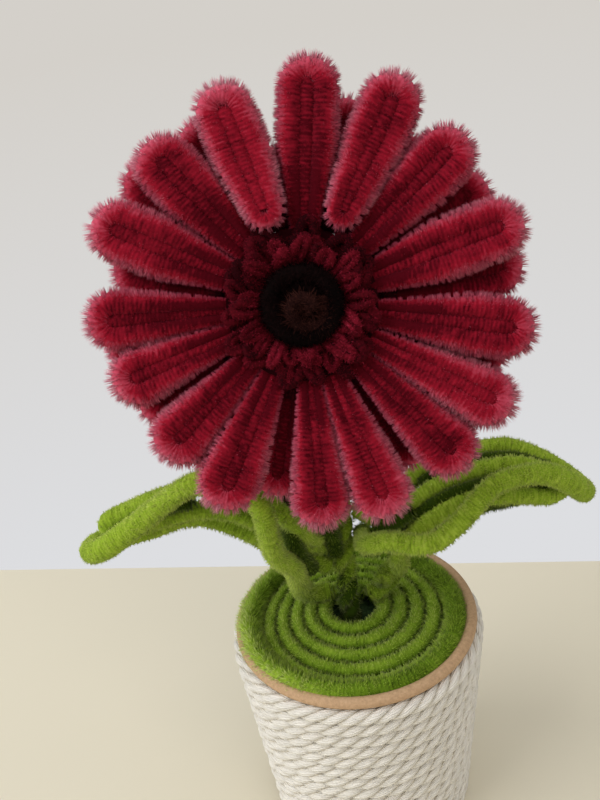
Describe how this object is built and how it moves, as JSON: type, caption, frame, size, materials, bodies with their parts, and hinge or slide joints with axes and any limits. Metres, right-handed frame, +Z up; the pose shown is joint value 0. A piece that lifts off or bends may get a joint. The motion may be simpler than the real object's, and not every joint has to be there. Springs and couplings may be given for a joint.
{
  "type": "chenille stem gerbera in a rope-wrapped paper cup",
  "caption": "Craft gerbera: crimson chenille loop petals round a black eye, on a twisted green stem with looped leaves, standing in a kraft paper cup wound with cotton cord.",
  "frame": {"origin": "centre of the cup's underside, on the surface that it stands on; also the centre of the bounding box's bottom", "axes": "+Z up along the cup's axis, -Y towards the viewer that the flower faces, +X to the viewer's right"},
  "size_m": [0.1268, 0.066, 0.2024],
  "materials": {
    "crimson_chenille": "soft fuzzy pile on wire",
    "leaf_chenille": "soft fuzzy pile on wire",
    "grass_chenille": "soft fuzzy pile on wire",
    "black_chenille": "soft fuzzy pile on wire",
    "brown_chenille": "soft fuzzy pile on wire",
    "kraft_paper": "matt uncoated paper",
    "cotton_cord": "three-strand twisted cotton, matt",
    "foam": "dark green floral foam, matt"
  },
  "bodies": {
    "root": {"cup_wall": "kraft_paper", "cup_bottom": "kraft_paper", "rope_wrap": "cotton_cord", "foam_plug": "foam", "grass_spiral": "grass_chenille", "stem_strand_a": "leaf_chenille", "stem_strand_b": "leaf_chenille", "left_leaf_outline": "leaf_chenille", "left_leaf_midrib": "leaf_chenille", "right_leaf_outline": "leaf_chenille", "right_leaf_midrib": "leaf_chenille", "calyx_wrap": "leaf_chenille", "petal_binding": "crimson_chenille", "front_petal_01": "crimson_chenille", "front_petal_02": "crimson_chenille", "front_petal_03": "crimson_chenille", "front_petal_04": "crimson_chenille", "front_petal_05": "crimson_chenille", "front_petal_06": "crimson_chenille", "front_petal_07": "crimson_chenille", "front_petal_08": "crimson_chenille", "front_petal_09": "crimson_chenille", "front_petal_10": "crimson_chenille", "front_petal_11": "crimson_chenille", "front_petal_12": "crimson_chenille", "front_petal_13": "crimson_chenille", "front_petal_14": "crimson_chenille", "front_petal_15": "crimson_chenille", "front_petal_16": "crimson_chenille", "back_petal_01": "crimson_chenille", "back_petal_02": "crimson_chenille", "back_petal_03": "crimson_chenille", "back_petal_04": "crimson_chenille", "back_petal_05": "crimson_chenille", "back_petal_06": "crimson_chenille", "back_petal_07": "crimson_chenille", "back_petal_08": "crimson_chenille", "back_petal_09": "crimson_chenille", "back_petal_10": "crimson_chenille", "back_petal_11": "crimson_chenille", "back_petal_12": "crimson_chenille", "back_petal_13": "crimson_chenille", "back_petal_14": "crimson_chenille", "back_petal_15": "crimson_chenille", "back_petal_16": "crimson_chenille", "floret_ring": "crimson_chenille", "eye_ring": "black_chenille", "eye_core": "brown_chenille"}
  },
  "joints": []
}
